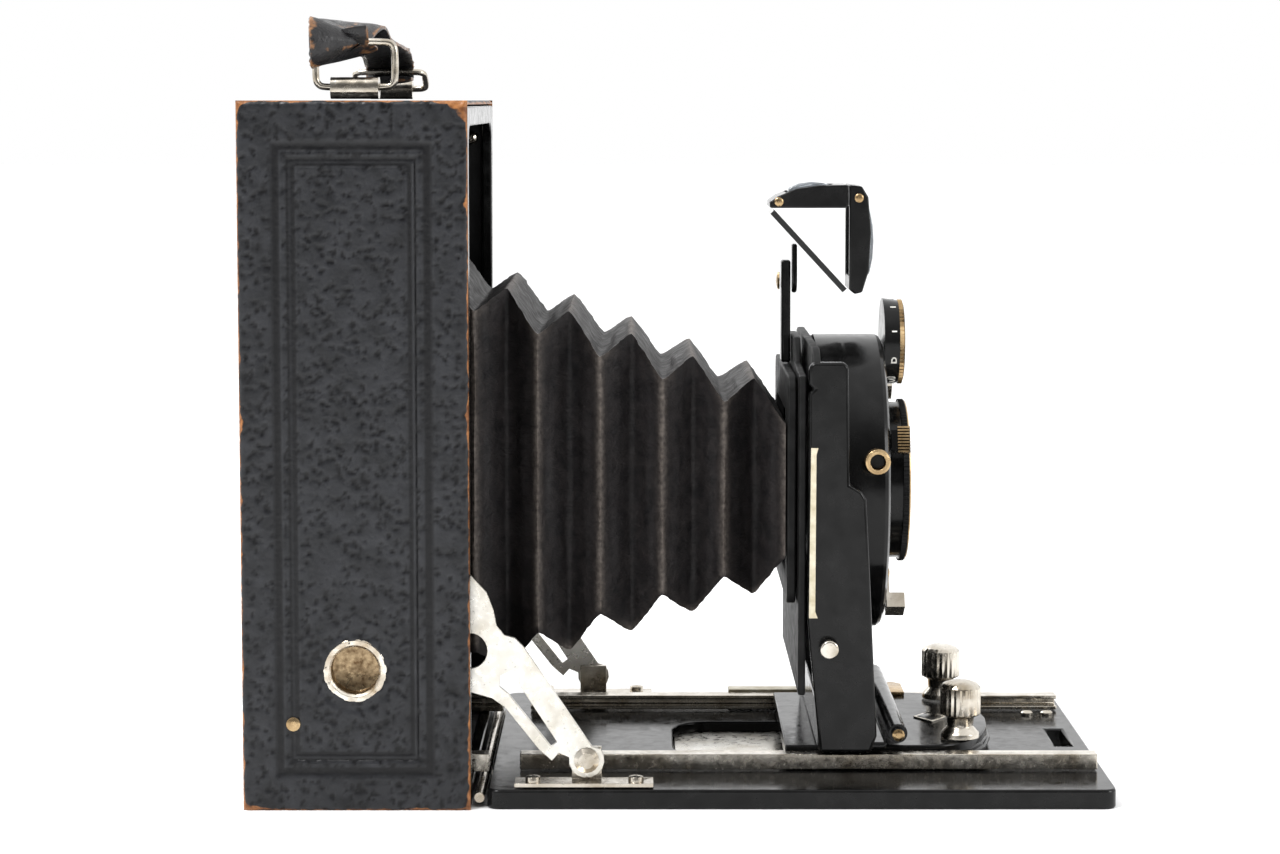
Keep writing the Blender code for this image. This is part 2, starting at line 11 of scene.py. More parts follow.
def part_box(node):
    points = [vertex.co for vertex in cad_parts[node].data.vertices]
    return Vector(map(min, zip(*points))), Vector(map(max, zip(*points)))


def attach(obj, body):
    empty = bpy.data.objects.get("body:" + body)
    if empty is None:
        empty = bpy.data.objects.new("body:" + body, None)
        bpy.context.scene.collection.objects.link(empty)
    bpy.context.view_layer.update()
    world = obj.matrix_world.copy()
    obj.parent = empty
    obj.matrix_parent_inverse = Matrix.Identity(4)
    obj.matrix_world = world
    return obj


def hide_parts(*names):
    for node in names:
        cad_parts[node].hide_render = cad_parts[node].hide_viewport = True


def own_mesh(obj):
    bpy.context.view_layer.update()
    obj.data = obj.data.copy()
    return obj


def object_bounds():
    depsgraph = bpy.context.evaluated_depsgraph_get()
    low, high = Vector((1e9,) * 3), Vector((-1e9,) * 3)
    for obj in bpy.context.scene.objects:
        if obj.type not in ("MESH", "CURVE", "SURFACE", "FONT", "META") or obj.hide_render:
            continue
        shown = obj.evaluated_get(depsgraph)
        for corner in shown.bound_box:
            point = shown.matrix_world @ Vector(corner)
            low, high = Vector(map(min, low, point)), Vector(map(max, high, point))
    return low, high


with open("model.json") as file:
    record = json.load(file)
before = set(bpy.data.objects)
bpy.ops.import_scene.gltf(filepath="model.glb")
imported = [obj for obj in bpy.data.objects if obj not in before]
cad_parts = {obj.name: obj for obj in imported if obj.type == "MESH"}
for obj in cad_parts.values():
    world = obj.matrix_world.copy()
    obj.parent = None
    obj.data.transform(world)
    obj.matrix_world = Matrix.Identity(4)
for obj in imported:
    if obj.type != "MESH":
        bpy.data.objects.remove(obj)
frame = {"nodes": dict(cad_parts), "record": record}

MM = 0.001
CAD_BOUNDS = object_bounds()


# ---- Node helpers -------------------------------------------------------------------------

class Look:
    """A Principled material that is put together one texture at a time."""

    def __init__(self, name, colour, roughness, metallic=0.0, **sockets):
        self.material = bpy.data.materials.new(name)
        self.material.use_nodes = True
        self.tree = self.material.node_tree
        self.shader = self.tree.nodes["Principled BSDF"]
        self.coordinates = self.tree.nodes.new("ShaderNodeTexCoord").outputs["Object"]
        self.height = None
        self.shader.inputs["Base Color"].default_value = (*colour, 1.0)
        self.shader.inputs["Roughness"].default_value = roughness
        self.shader.inputs["Metallic"].default_value = metallic
        for socket, value in sockets.items():
            self.shader.inputs[socket.replace("_", " ")].default_value = value

    def link(self, source, target):
        self.tree.links.new(source, target)

    def noise(self, scale, detail=4.0, distortion=0.0, stretch=None):
        node = self.tree.nodes.new("ShaderNodeTexNoise")
        node.inputs["Scale"].default_value = scale
        node.inputs["Detail"].default_value = detail
        node.inputs["Distortion"].default_value = distortion
        self.link(self.stretched(stretch), node.inputs["Vector"])
        return node.outputs["Fac"]

    def stretched(self, stretch):
        if stretch is None:
            return self.coordinates
        node = self.tree.nodes.new("ShaderNodeMapping")
        node.inputs["Scale"].default_value = stretch
        self.link(self.coordinates, node.inputs["Vector"])
        return node.outputs["Vector"]

    def cells(self, scale, feature="F1"):
        warp = self.tree.nodes.new("ShaderNodeVectorMath")
        warp.operation = "MULTIPLY_ADD"
        wobble = self.tree.nodes.new("ShaderNodeTexNoise")
        wobble.inputs["Scale"].default_value = scale * 0.8
        self.link(self.coordinates, wobble.inputs["Vector"])
        self.link(wobble.outputs["Color"], warp.inputs[0])
        warp.inputs[1].default_value = (0.9 / scale,) * 3
        self.link(self.coordinates, warp.inputs[2])
        node = self.tree.nodes.new("ShaderNodeTexVoronoi")
        node.feature = feature
        node.inputs["Scale"].default_value = scale
        self.link(warp.outputs["Vector"], node.inputs["Vector"])
        return node.outputs["Distance"]

    def attribute(self, name):
        node = self.tree.nodes.new("ShaderNodeAttribute")
        node.attribute_name = name
        return node.outputs["Fac"]

    def separate(self, axis):
        node = self.tree.nodes.new("ShaderNodeSeparateXYZ")
        self.link(self.coordinates, node.inputs["Vector"])
        return node.outputs[axis]

    def ramp(self, value, stops):
        node = self.tree.nodes.new("ShaderNodeValToRGB")
        ends = node.color_ramp.elements
        while len(ends) < len(stops):
            ends.new(0.5)
        for element, (position, colour) in zip(ends, stops):
            element.position = position
            element.color = (*colour, 1.0) if len(colour) == 3 else colour
        self.link(value, node.inputs["Fac"])
        return node.outputs["Color"]

    def math(self, operation, one, two, clamp=False):
        node = self.tree.nodes.new("ShaderNodeMath")
        node.operation = operation
        node.use_clamp = clamp
        for socket, value in zip(node.inputs, (one, two)):
            if isinstance(value, (int, float)):
                socket.default_value = value
            else:
                self.link(value, socket)
        return node.outputs["Value"]

    def mix(self, share, one, two):
        node = self.tree.nodes.new("ShaderNodeMix")
        node.data_type = "RGBA"
        self.link(share, node.inputs[0])
        for socket, value in ((node.inputs[6], one), (node.inputs[7], two)):
            if isinstance(value, tuple):
                socket.default_value = (*value, 1.0)
            else:
                self.link(value, socket)
        return node.outputs[2]

    def colour(self, value):
        self.link(value, self.shader.inputs["Base Color"])

    def roughness(self, value, low, high):
        grey = [(0.3, (low,) * 3), (0.75, (high,) * 3)]
        self.link(self.ramp(value, grey), self.shader.inputs["Roughness"])

    def bump(self, value, strength, distance):
        node = self.tree.nodes.new("ShaderNodeBump")
        node.inputs["Strength"].default_value = strength
        node.inputs["Distance"].default_value = distance
        self.link(value, node.inputs["Height"])
        if self.height:
            self.link(self.height, node.inputs["Normal"])
        self.height = node.outputs["Normal"]
        self.link(self.height, self.shader.inputs["Normal"])


# ---- Materials ----------------------------------------------------------------------------

def pebbled_leather(name="pebbled_leather", modelled=True):
    """Black pebbled leather; its pits, furrows and pressed bands are darkened with painted shade, and its
    edges have worn through to tan hide.
    """
    look = Look(name, (0.012, 0.012, 0.014), 0.5, Specular_IOR_Level=0.30)
    mottle = look.noise(260, 6)
    top = look.ramp(mottle, [(0.3, (0.010, 0.0105, 0.012)), (0.75, (0.028, 0.029, 0.033))])
    # Painted shade: the colour darkens in the grain's pits and furrows and in the pressed bands, by their
    # depth.
    painted_shade = look.attribute("painted_shade") if modelled else look.cells(600, "SMOOTH_F1")
    high = look.ramp(painted_shade, [(0.10, (0, 0, 0)), (0.90, (1, 1, 1))])
    black = look.mix(high, (0.0022, 0.0022, 0.003), top)
    if modelled:
        patch = look.math("MULTIPLY", look.attribute("wear"), look.math("ADD", look.noise(900, 5), 0.5),
                          clamp=True)
        tan = look.ramp(look.noise(700, 4), [(0.35, (0.13, 0.045, 0.013)), (0.7, (0.38, 0.16, 0.055))])
        worn = look.ramp(patch, [(0.50, (0, 0, 0)), (0.66, (1, 1, 1))])
        black = look.mix(worn, black, tan)
    look.colour(black)
    look.roughness(look.noise(500, 5), 0.30, 0.55)
    look.bump(look.noise(2600, 3), 0.25, 0.00006)
    look.bump(look.cells(1100, "SMOOTH_F1"), 0.35, 0.00018)
    return look.material


def bellows_leather():
    """Thin black hide, matt in the folds and rubbed grey-brown along the ridges."""
    look = Look("bellows_leather", (0.02, 0.018, 0.018), 0.6, Specular_IOR_Level=0.22)
    hide = look.ramp(look.noise(300, 7, 0.6),
                     [(0.3, (0.0045, 0.004, 0.0045)), (0.7, (0.017, 0.0145, 0.0145))])
    rubbed = look.ramp(look.noise(1100, 5), [(0.3, (0.045, 0.037, 0.032)), (0.7, (0.15, 0.128, 0.112))])
    share = look.math("MULTIPLY", look.attribute("ridge"), look.math("ADD", look.noise(420, 5), 0.35),
                      clamp=True)
    look.colour(look.mix(share, hide, rubbed))
    look.roughness(look.noise(350, 5), 0.45, 0.72)
    look.bump(look.noise(420, 6, 1.2, (0.5, 1.0, 1.6)), 0.55, 0.00045)
    look.bump(look.cells(1500), 0.35, 0.00010)
    return look.material


def strap_leather():
    """Glossy black strap, cracked, with its brown flesh showing at torn edges."""
    look = Look("strap_leather", (0.02, 0.018, 0.018), 0.35, Specular_IOR_Level=0.45)
    black = look.ramp(look.noise(500, 5), [(0.3, (0.004, 0.004, 0.005)), (0.75, (0.020, 0.019, 0.020))])
    flesh = look.ramp(look.noise(900, 6), [(0.3, (0.075, 0.030, 0.012)), (0.7, (0.33, 0.16, 0.065))])
    torn = look.ramp(look.math("MULTIPLY", look.attribute("wear"), look.noise(650, 5)),
                     [(0.38, (0, 0, 0)), (0.52, (1, 1, 1))])
    look.colour(look.mix(torn, black, flesh))
    look.roughness(look.noise(700, 5), 0.22, 0.58)
    look.bump(look.noise(1600, 6, 0.5, (0.5, 2.2, 1.0)), 0.6, 0.00022)
    return look.material


def lacquer(name, tone=0.004, rough=(0.10, 0.26), gloss=0.22):
    """Stoved black lacquer with dust, fine scuffs and an uneven gloss."""
    look = Look(name, (tone,) * 3, rough[0], Specular_IOR_Level=gloss)
    look.colour(look.ramp(look.noise(240, 8), [(0.35, (tone * 0.6,) * 3), (0.8, (tone * 2.4,) * 3)]))
    look.roughness(look.noise(420, 8, 0.4), *rough)
    look.bump(look.noise(190, 3), 0.10, 0.0003)
    look.bump(look.noise(3400, 3), 0.05, 0.00005)
    return look.material


BUSH_FACE = 50.6 * MM
RECESS_TINT_RISE = 700.0


def bush_metal():
    """Worn nickel that turns brown and darker deeper in its recess."""
    look = Look("tripod_bush_nickel", (0.8, 0.77, 0.7), 0.2, 1.0)
    cloud = look.ramp(look.noise(220, 9, 0.8), [(0.38, (0.80, 0.76, 0.68)), (0.72, (0.42, 0.33, 0.22))])
    recess_brown = look.ramp(look.noise(900, 6), [(0.3, (0.10, 0.060, 0.030)), (0.7, (0.40, 0.30, 0.18))])
    # The brown rises with depth below the bush's face.
    depth = look.math("ADD", look.separate("Y"), BUSH_FACE)
    sunk = look.ramp(look.math("MULTIPLY", depth, RECESS_TINT_RISE, clamp=True),
                     [(0.2, (0, 0, 0)), (0.9, (1, 1, 1))])
    look.colour(look.mix(sunk, cloud, recess_brown))
    look.roughness(look.noise(800, 6), 0.16, 0.5)
    look.bump(look.noise(1300, 6), 0.35, 0.00012)
    return look.material


SILVERED_SIDE = (0.735, 0.0, 0.678)


def finder_silver():
    """A silvered glass whose back and edges are painted black."""
    look = Look("finder_silver", (0.8, 0.8, 0.8), 0.06)
    facing = look.tree.nodes.new("ShaderNodeVectorMath")
    facing.operation = "DOT_PRODUCT"
    normal = look.tree.nodes.new("ShaderNodeTexCoord").outputs["Normal"]
    look.link(normal, facing.inputs[0])
    facing.inputs[1].default_value = SILVERED_SIDE
    silvered = look.ramp(facing.outputs["Value"], [(0.90, (0, 0, 0)), (0.95, (1, 1, 1))])
    silver = look.ramp(look.noise(300, 5), [(0.3, (0.86, 0.86, 0.85)), (0.8, (0.62, 0.61, 0.58))])
    look.colour(look.mix(silvered, (0.004, 0.004, 0.004), silver))
    look.link(silvered, look.shader.inputs["Metallic"])
    return look.material


def metal(name, bright, dull, rough, brush=(1.0, 1.0, 1.0)):
    """Plated metal with tarnish clouds, spots and brushing."""
    look = Look(name, bright, rough[0], 1.0)
    cloud = look.ramp(look.noise(130, 9, 0.8), [(0.38, bright), (0.72, dull)])
    spots = look.ramp(look.noise(1500, 4), [(0.66, (0, 0, 0)), (0.74, (0.6, 0.6, 0.6))])
    look.colour(look.mix(spots, cloud, tuple(c * 0.35 for c in dull)))
    look.roughness(look.noise(700, 6), *rough)
    look.bump(look.noise(1300, 4, 0.0, brush), 0.12, 0.00006)
    return look.material


def ivory():
    """Ivory-coloured celluloid, yellowed unevenly."""
    look = Look("aged_ivory", (0.72, 0.66, 0.50), 0.42)
    look.colour(look.ramp(look.noise(380, 6), [(0.3, (0.50, 0.43, 0.28)), (0.7, (0.80, 0.75, 0.60))]))
    look.bump(look.noise(900, 4), 0.1, 0.0001)
    return look.material


def glass(name, colour, alpha):
    """Clear lens glass with a faint haze."""
    look = Look(name, colour, 0.03, Transmission_Weight=0.85, IOR=1.5, Alpha=alpha)
    look.roughness(look.noise(300, 4), 0.02, 0.07)
    return look.material


def ground_screen():
    """The focusing screen: glass ground to a fine matt surface."""
    look = Look("ground_screen", (0.75, 0.78, 0.78), 0.6, Transmission_Weight=0.4)
    look.colour(look.ramp(look.noise(200, 5), [(0.3, (0.60, 0.63, 0.63)), (0.7, (0.80, 0.82, 0.82))]))
    look.bump(look.noise(5000, 2), 0.2, 0.00003)
    return look.material


def make_materials():
    return {
        "leather": pebbled_leather(),
        "plain_leather": pebbled_leather("plain_leather", modelled=False),
        "bellows": bellows_leather(),
        "strap": strap_leather(),
        "lacquer": lacquer("black_lacquer"),
        "matt_black": lacquer("matt_black", 0.006, (0.45, 0.7), 0.22),
        "nickel": metal("worn_nickel", (0.66, 0.62, 0.55), (0.33, 0.28, 0.21), (0.12, 0.34)),
        "satin_nickel": metal("satin_nickel", (0.80, 0.78, 0.73), (0.60, 0.56, 0.48), (0.22, 0.42)),
        "brass": metal("old_brass", (0.55, 0.40, 0.22), (0.24, 0.15, 0.07), (0.18, 0.42)),
        "ivory": ivory(),
        "glass": glass("lens_glass", (0.80, 0.86, 0.92), 0.9),
        "screen": ground_screen(),
        "bush": bush_metal(),
        "mirror": finder_silver(),
        "ink": Look("dial_white", (0.86, 0.84, 0.78), 0.5).material,
    }


NODE_LOOKS = {
    "plain_leather": ("case_bottom",),
    "bush": ("tripod_bush",),
    "matt_black": ("standard_plate", "lens_board", "case_side_near", "case_side_far", "case_top",
                   "bellows_rear_frame", "bellows_front_frame", "back_frame"),
    "satin_nickel": ("strut_near", "strut_far"),
    "nickel": ("handle_clip_near", "handle_clip_far", "handle_ring_near",
               "handle_ring_far", "bed_hinge_pin", "rail_near", "rail_far", "case_rail_near",
               "case_rail_far", "strut_bracket_near", "strut_bracket_far", "pinch_knob_near",
               "pinch_knob_far", "rise_lock_screw", "cocking_lever", "release_lever"),
    "brass": ("cable_socket", "finder_pivot"),
    "ivory": ("focus_scale",),
    "glass": ("front_lens", "rear_lens", "finder_front_lens", "finder_top_lens"),
    "screen": ("ground_glass",),
    "mirror": ("finder_mirror",),
}


def dress_nodes(looks):
    """Gives every carried-over CAD node its material; lacquer is the rest."""
    chosen = {node: look for look, nodes in NODE_LOOKS.items() for node in nodes}
    for node, thing in frame["nodes"].items():
        material = looks[chosen.get(node, "lacquer")]
        thing.data.materials.clear()
        thing.data.materials.append(material)


SOFT_EDGES = {
    0.9: ("standard_arm_near", "standard_arm_far"),
    0.5: ("standard_foot", "bed_panel", "finder_post", "handle_clip_near", "handle_clip_far"),
    0.35: ("carriage", "lens_board", "standard_plate", "finder_front_frame", "finder_top_frame",
           "finder_arm", "front_rim", "bellows_front_frame", "aperture_lever", "cocking_lever",
           "release_lever"),
    0.2: ("strut_near", "strut_far", "strut_bracket_near", "strut_bracket_far", "rail_near",
          "rail_far", "case_rail_near", "case_rail_far", "focus_scale"),
    0.6: ("finder_front_lens", "finder_top_lens"),
    0.1: ("shutter_case", "front_cell", "rear_cell", "speed_dial", "tripod_bush", "cable_socket",
          "bed_hinge_pin", "foot_clamp_bar", "rise_lock_screw", "front_lens", "rear_lens",
          "finder_pivot", "pinch_knob_near", "pinch_knob_far"),
}
WIRES = ("handle_ring_near", "handle_ring_far")


def reshaped(record, node, dissolve, smooth=30):
    """Replaces a CAD node by a welded copy of itself, with one side's triangles merged again."""
    body_of = {node: body for body, nodes in record["behaviour"]["bodies"].items() for node in nodes}
    bm = bmesh.new()
    bm.from_mesh(frame["nodes"][node].data)
    bmesh.ops.remove_doubles(bm, verts=bm.verts, dist=0.002 * MM)
    dissolve(bm)
    material = frame["nodes"][node].data.materials[0]
    return piece(node + "_shaped", bm, material, body_of[node], (node,), smooth=smooth)


def flat_sides(bm):
    bmesh.ops.dissolve_limit(bm, angle_limit=radians(1), verts=bm.verts, edges=bm.edges)


def four_sided(bm):
    bmesh.ops.join_triangles(bm, faces=bm.faces, angle_face_threshold=radians(20),
                             angle_shape_threshold=radians(60))


def soften_edges(record):
    """Rounds the sharp edges of the pressed and cast pieces, and the bent wires all over."""
    for width, nodes in SOFT_EDGES.items():
        for node in nodes:
            bevel = reshaped(record, node, flat_sides).modifiers.new("round_edges", "BEVEL")
            bevel.width = width * MM
            bevel.segments = 3
            bevel.limit_method = "ANGLE"
            bevel.angle_limit = radians(32)
    for node in WIRES:
        rounder = reshaped(record, node, four_sided, smooth=180).modifiers.new("round_wire", "SUBSURF")
        rounder.levels = 2
        rounder.render_levels = 2


# ---- Mesh helpers -------------------------------------------------------------------------

def piece(name, bm, material, body, replaced=(), smooth=30):
    """Makes an object of a mesh, shades it, ties it to its body and hides the CAD nodes it replaces."""
    mesh = bpy.data.meshes.new(name)
    bm.to_mesh(mesh)
    bm.free()
    mesh.materials.append(material)
    mesh.shade_smooth()
    mesh.set_sharp_from_angle(angle=radians(smooth))
    made = bpy.data.objects.new(name, mesh)
    bpy.context.scene.collection.objects.link(made)
    if body:
        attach(made, body)
    if replaced:
        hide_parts(*replaced)
    return made


def turned(name, material, body, axis, centre, profile, sides=32, teeth=None):
    """A turned piece: profile is (distance along axis, radius); teeth gives a knurl's depth."""
    bm = bmesh.new()
    rings = []
    turn = axis.to_track_quat("Z", "X")
    for k, (along, radius) in enumerate(profile):
        if radius <= 0:
            rings.append([bm.verts.new(centre + turn @ Vector((0, 0, along)))])
            continue
        ring = []
        for i in range(sides):
            reach = radius - (teeth[1] if teeth and k in teeth[0] and i % 2 else 0)
            a = 2 * pi * i / sides
            ring.append(bm.verts.new(centre + turn @ Vector((reach * cos(a), reach * sin(a), along))))
        rings.append(ring)
    closed = profile[0][1] > 0
    pairs = list(zip(rings, rings[1:])) + ([(rings[-1], rings[0])] if closed else [])
    for one, two in pairs:
        for i in range(sides):
            j = (i + 1) % sides
            spots = [one[i % len(one)], one[j % len(one)], two[j % len(two)], two[i % len(two)]]
            bm.faces.new(list(dict.fromkeys(spots)))
    bmesh.ops.recalc_face_normals(bm, faces=bm.faces)
    return piece(name, bm, material, body)


def slab(name, material, body, corners, direction, edge=0.0001):
    """A flat outline pushed along direction, with softened edges."""
    bm = bmesh.new()
    face = bm.faces.new([bm.verts.new(c) for c in corners])
    moved = bmesh.ops.extrude_face_region(bm, geom=[face])["geom"]
    bmesh.ops.translate(bm, vec=direction, verts=[v for v in moved if isinstance(v, bmesh.types.BMVert)])
    bmesh.ops.recalc_face_normals(bm, faces=bm.faces)
    bmesh.ops.bevel(bm, geom=bm.edges[:], offset=edge, segments=2, affect="EDGES", profile=0.6)
    return piece(name, bm, material, body)


def join_rings(bm, rings):
    """Faces between each closed ring of points and the next."""
    for one, two in zip(rings, rings[1:]):
        for i in range(len(one)):
            j = (i + 1) % len(one)
            bm.faces.new((one[i], one[j], two[j], two[i]))


# ---- Leather panels -----------------------------------------------------------------------

GRID = 0.45 * MM
PEBBLE = 1 / (1.5 * MM)


def pebble(point):
    """Height of the leather's grain: 0 in a pit or a short furrow, 1 on the swelling between."""
    spot = Vector(point) * PEBBLE
    spot += 0.55 * noise.noise_vector(spot * 0.8) + 0.2 * noise.noise_vector(spot * 2.3)
    distance = noise.voronoi(spot)[0][0]
    share = min(1.0, max(0.0, (distance - 0.14) / 0.46))
    return share * share * (3 - 2 * share)


BAND = 2.0 * MM
RIDGE = 1.1 * MM
LINE = 0.75 * MM


def pressed_frames(inset):
    """Depth, smoothness and shade of the pressed bands at a distance inside the outer frame."""
    for start, width in ((0.0, BAND), (BAND + RIDGE, LINE), (BAND + RIDGE + 1.35 * LINE, LINE)):
        across = (inset - start) / width
        if 0 < across < 1:
            edge = abs(2 * across - 1)
            return 0.38 * MM * (1 - edge ** 6), 1.0, 0.16 + 0.9 * edge ** 5
    return 0.0, 0.0, 0.0


def edge_wear(rim, corner, spot):
    """How far the black has gone, by the distance to the nearest edge and corner; 1 is bare hide."""
    rough = noise.noise(Vector(spot) * 160) * 0.5 + noise.noise(Vector(spot) * 620) * 0.4
    wear = 1.15 * exp(-rim / (0.55 * MM)) + 1.3 * exp(-corner / (2.4 * MM)) + rough - 0.25
    return max(0.0, min(1.0, wear))


def fold_down_rim(bm, flat, back):
    """Turns the open edges of a sheet down to the plane behind it."""
    rim_edges = [e for e in bm.edges if e.is_boundary]
    made = bmesh.ops.extrude_edge_only(bm, edges=rim_edges)["geom"]
    for vert in made:
        if isinstance(vert, bmesh.types.BMVert):
            vert.co[flat] = back


def leather_panel(name, looks, body, node, normal, framing, hole=None):
    """A pebbled sheet over a flat CAD skin, pressed with frames and worn at its edges."""
    low, high = (Vector(corner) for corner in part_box(node))
    flat = max(range(3), key=lambda i: abs(normal[i]))
    u_axis, v_axis = [i for i in range(3) if i != flat]
    face = (high if normal[flat] > 0 else low)[flat]
    columns = max(2, int((high[u_axis] - low[u_axis]) / GRID))
    rows = max(2, int((high[v_axis] - low[v_axis]) / GRID))
    bm = bmesh.new()
    wear_layer = bm.verts.layers.float.new("wear")
    painted_shade_layer = bm.verts.layers.float.new("painted_shade")
    grid = []
    for i in range(columns + 1):
        line = []
        for j in range(rows + 1):
            u = low[u_axis] + (high[u_axis] - low[u_axis]) * i / columns
            v = low[v_axis] + (high[v_axis] - low[v_axis]) * j / rows
            edges = (u - low[u_axis], high[u_axis] - u, v - low[v_axis], high[v_axis] - v)
            rim = min(edges)
            corner = hypot(min(edges[:2]), min(edges[2:]))
            inset = min(u - framing[0], framing[1] - u, v - framing[2], framing[3] - v)
            depth, smoothness, shade = pressed_frames(inset)
            spot = [0.0, 0.0, 0.0]
            spot[u_axis], spot[v_axis], spot[flat] = u, v, face
            bump = pebble(spot)
            depth += 0.26 * MM * (1 - bump) * (1 - smoothness)
            depth += 0.55 * MM * max(0.0, 1 - rim / (0.9 * MM)) ** 2
            if hole:
                reach = hypot(u - hole[0], v - hole[1])
                depth += 0.28 * MM * exp(-((reach - hole[2] - 1.1 * MM) / (0.55 * MM)) ** 2)
            spot[flat] -= depth * (1 if normal[flat] > 0 else -1)
            vert = bm.verts.new(spot)
            vert[wear_layer] = edge_wear(rim, corner, spot)
            # Painted shade: the pebble height, or the pressed bands' shade, is stored here to make the
            # colour dark in pits and bands.
            vert[painted_shade_layer] = shade if smoothness else bump
            line.append(vert)
        grid.append(line)
    for i in range(columns):
        for j in range(rows):
            corners = (grid[i][j], grid[i + 1][j], grid[i + 1][j + 1], grid[i][j + 1])
            if hole:
                middle = sum((c.co for c in corners), Vector()) / 4
                if hypot(middle[u_axis] - hole[0], middle[v_axis] - hole[1]) < hole[2] - 1.0 * MM:
                    continue
            bm.faces.new(corners)
    bmesh.ops.recalc_face_normals(bm, faces=bm.faces)
    bm.faces.ensure_lookup_table()
    if bm.faces[0].normal[flat] * normal[flat] < 0:
        bmesh.ops.reverse_faces(bm, faces=bm.faces)
    loose = [v for v in bm.verts if not v.link_faces]
    bmesh.ops.delete(bm, geom=loose, context="VERTS")
    fold_down_rim(bm, flat, (low if normal[flat] > 0 else high)[flat])
    return piece(name, bm, looks["leather"], body, (node,), smooth=60)


SIDE_MARGINS = (6.6 * MM, 7.0 * MM, 7 * MM, 8 * MM)
LID_MARGIN = 6 * MM
NO_FRAMES = (1, 0, 1, 0)


def make_leather(looks):
    """The panels on the two sides, the top and the hood's lid."""
    bush_low, bush_high = (Vector(c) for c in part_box("tripod_bush"))
    bush = (bush_low + bush_high) / 2
    radius = (bush_high.x - bush_low.x) / 2
    low, high = (Vector(c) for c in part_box("leather_side_near"))
    rear, front, bottom, top = SIDE_MARGINS
    frames = (low.x + rear, high.x - front, low.z + bottom, high.z - top)
    leather_panel("side_leather_near", looks, "case", "leather_side_near", (0, -1, 0), frames,
                  (bush.x, bush.z, radius))
    leather_panel("side_leather_far", looks, "case", "leather_side_far", (0, 1, 0), frames)
    leather_panel("top_leather", looks, "case", "leather_top", (0, 0, 1), NO_FRAMES)
    low, high = (Vector(c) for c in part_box("hood_lid"))
    lid = (low.y + LID_MARGIN, high.y - LID_MARGIN, low.z + LID_MARGIN, high.z - LID_MARGIN)
    leather_panel("hood_leather", looks, "hood", "hood_lid", (-1, 0, 0), lid)


# ---- Bellows ------------------------------------------------------------------------------

PLEATS = 8
FOLD = 6.5 * MM
HIDE = 0.6 * MM
REAR_HALF = (44.0 * MM, 54.0 * MM)
FRONT_HALF = (27.0 * MM, 20.5 * MM)
REAR_Z = 66.5 * MM
FRONT_Z = 61.5 * MM
RINGS_PER_PLEAT = 24
STEPS_PER_SIDE = 30
# The stiffeners' lines, each from (x, z) to (x, z) in millimetres
CREASES = (((-31.6, 88.8), (20.8, 71.6)), ((-32.6, 42.6), (21.8, 57.0)))


def fold_wave(turns):
    """A triangle wave from -1 to 1 with slightly soft peaks; peaks at whole turns."""
    return asin(0.985 * cos(2 * pi * turns)) / asin(0.985)


def bellows_creases(x, z):
    """Depth of the stiffeners' paired lines that show through the side folds."""
    depth = 0.0
    for start, end in CREASES:
        slope = (end[1] - start[1]) / (end[0] - start[0])
        height = start[1] + slope * (x / MM - start[0])
        for offset in (-1.6, 1.6):
            depth += 0.22 * MM * exp(-((z / MM - height - offset) / 0.45) ** 2)
    return depth


def between(rear, front, share):
    return rear + (front - rear) * share


def bellows_ring(bm, ridge_layer, low, high, k, inside):
    """Ring k of points from the rear, on the bellows' outer skin or inside it."""
    share = k / (PLEATS * RINGS_PER_PLEAT)
    turns = share * PLEATS
    wave = fold_wave(turns)
    x = between(low.x, high.x, share)
    side_in = FOLD * (1 - wave) / 2 + inside * HIDE
    top_in = FOLD * (1 + wave) / 2 + inside * HIDE
    half_y = between(REAR_HALF[0], FRONT_HALF[0], share) - side_in
    half_z = between(REAR_HALF[1], FRONT_HALF[1], share) - top_in
    middle = between(REAR_Z, FRONT_Z, share)
    keep = min(1.0, share * 60, (1 - share) * 60)
    ring = []
    for side in range(4):
        upright = side in (1, 3)
        peak = (1 + wave) / 2 if upright else (1 - wave) / 2
        for n in range(STEPS_PER_SIDE):
            t = -1 + 2 * n / STEPS_PER_SIDE
            a, b = ((t, -1), (1, t), (-t, 1), (-1, -t))[side]
            y, z = half_y * a, middle + half_z * b
            sag = 0.35 * MM * (1 - t * t) * sin(2 * pi * turns * 2) ** 2
            soft = 0.22 * MM * noise.fractal(Vector((x, y, z)) * 190, 1.0, 2.0, 3)
            if upright:
                y -= (1 if a > 0 else -1) * (sag + bellows_creases(x, z)) - soft
            else:
                z -= (1 if b > 0 else -1) * sag - soft
            ripple = noise.noise(Vector((y, z, k / RINGS_PER_PLEAT)) * 70 + Vector((3, 0, turns)))
            vert = bm.verts.new((x + 0.3 * MM * keep * ripple, y, z))
            corner = max(0.0, abs(t) - 0.90) / 0.10
            vert[ridge_layer] = min(1.0, max(peak ** 14, 0.75 * corner * peak ** 3))
            ring.append(vert)
    return ring


def make_bellows(looks):
    """A pleated tube of thin hide; the top folds stand out where the side folds go in."""
    low, high = (Vector(c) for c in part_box("bellows"))
    bm = bmesh.new()
    ridge_layer = bm.verts.layers.float.new("ridge")
    skins = []
    for inside in (0, 1):
        skins.append([bellows_ring(bm, ridge_layer, low, high, k, inside)
                      for k in range(PLEATS * RINGS_PER_PLEAT + 1)])
    outer, inner = skins
    join_rings(bm, outer + inner[::-1] + [outer[0]])
    bmesh.ops.recalc_face_normals(bm, faces=bm.faces)
    made = piece("pleated_bellows", bm, looks["bellows"], None, ("bellows",), smooth=70)
    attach(made, "case")
    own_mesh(made)


# ---- Strap --------------------------------------------------------------------------------

STRAP_THICK = 1.5 * MM
LOOP_REACH = 2.1 * MM
LOOP_TURN = 215
STRAP_STEPS = 10


def bar_loop(bar, start, turn):
    """Points of the strap round a ring's bar, from a start angle through a turn in degrees."""
    angles = [radians(start + turn * k / 8) for k in range(9)]
    return [bar + Vector((cos(a), sin(a))) * LOOP_REACH for a in angles]


